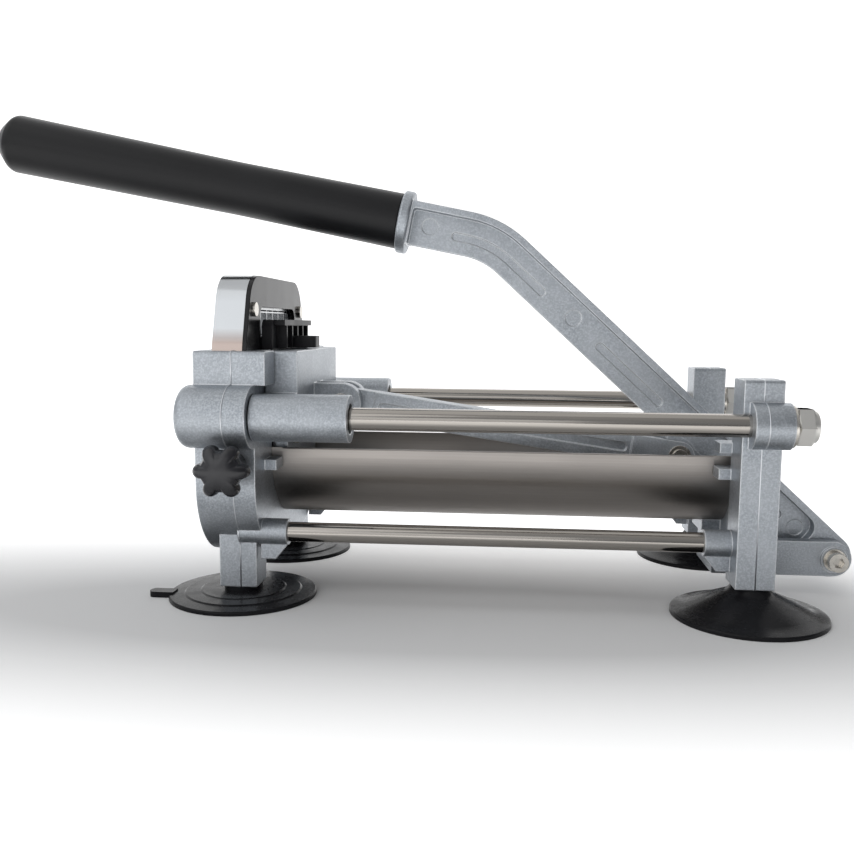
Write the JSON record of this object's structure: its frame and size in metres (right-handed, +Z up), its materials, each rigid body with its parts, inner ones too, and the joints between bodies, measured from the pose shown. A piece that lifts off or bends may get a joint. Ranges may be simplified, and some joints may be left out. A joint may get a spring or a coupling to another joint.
{
  "type": "french fry cutter",
  "caption": "Lever-operated potato cutter with a sliding pusher, blade grid, cast frames on rods and suction feet.",
  "frame": {"origin": "on the table under the middle of the bounding box, lever down at rest", "axes": "+X from the blade end towards the lever's pivot, +Y across to the far side, +Z up"},
  "size_m": [0.4669, 0.193, 0.2527],
  "materials": {
    "cast_aluminium": "grainy cast, lightly blasted",
    "polished_steel": "polished",
    "plated_steel": "nickel plated",
    "stainless_sheet": "satin",
    "blade_steel": "satin",
    "band_chrome": "mirror polished",
    "black_gloss_plastic": "glossy",
    "black_plastic": "satin",
    "grip_black": "fine matt texture",
    "cup_rubber": "smooth, slightly glossy",
    "bush_plastic": "satin"
  },
  "bodies": {
    "frame": {"front_frame": "cast_aluminium", "rear_frame": "cast_aluminium", "upper_rod_near": "polished_steel", "upper_rod_far": "polished_steel", "lower_rod_near": "polished_steel", "lower_rod_far": "polished_steel", "rod_lock_nuts": "plated_steel", "rod_washers": "plated_steel", "lower_rod_screws": "plated_steel", "cassette_screws": "plated_steel", "pivot_bolt": "plated_steel", "pivot_washers": "plated_steel", "pivot_nut": "plated_steel", "foot_studs": "plated_steel", "trough": "stainless_sheet", "blade_ring": "blade_steel", "blades_upright": "blade_steel", "blades_level": "blade_steel", "cassette_band": "band_chrome", "cassette_cover": "black_gloss_plastic", "cassette_frame": "black_plastic", "suction_cup_front_near": "cup_rubber", "suction_cup_front_far": "cup_rubber", "suction_cup_rear_near": "cup_rubber", "suction_cup_rear_far": "cup_rubber"},
    "lever_arm": {"lever": "cast_aluminium", "grip": "grip_black"},
    "link_bar": {"link": "cast_aluminium", "crank_pin": "plated_steel", "crank_pin_clips": "plated_steel"},
    "carriage": {"pusher_carriage": "cast_aluminium", "carriage_bushes": "bush_plastic", "pusher_plate": "black_plastic", "pusher_plate_screws": "plated_steel", "carriage_pivot_screws": "plated_steel"},
    "knob_near": {"star_knob_near": "black_gloss_plastic", "knob_stud_near": "plated_steel"},
    "knob_far": {"star_knob_far": "black_gloss_plastic", "knob_stud_far": "plated_steel"}
  },
  "joints": [
    {"name": "lever_swing", "type": "hinge", "parent": "frame", "child": "lever_arm", "pos_m": [0.22181, 0, 0.019], "axis": [0, 1, 0], "range_deg": [0, 105]},
    {"name": "link_turn", "type": "hinge", "parent": "lever_arm", "child": "link_bar", "pos_m": [0.14131, 0, 0.071], "axis": [0, 1, 0], "range_deg": [-108.93, 0]},
    {"name": "pusher_slide", "type": "slide", "parent": "frame", "child": "carriage", "axis": [1, 0, 0], "range_m": [0, 0.1503]},
    {"name": "near_knob_turn", "type": "hinge", "parent": "frame", "child": "knob_near", "pos_m": [-0.08539, -0.0687, 0.0706], "axis": [0, -1, 0], "range_deg": [0, 720]},
    {"name": "far_knob_turn", "type": "hinge", "parent": "frame", "child": "knob_far", "pos_m": [-0.08539, 0.0687, 0.0706], "axis": [0, 1, 0], "range_deg": [0, 720]}
  ],
  "couplings": [
    {"joint": "link_turn", "follows": "lever_swing", "ratio": -1.0365},
    {"joint": "pusher_slide", "follows": "lever_swing", "m_per_rad": 0.081961}
  ]
}
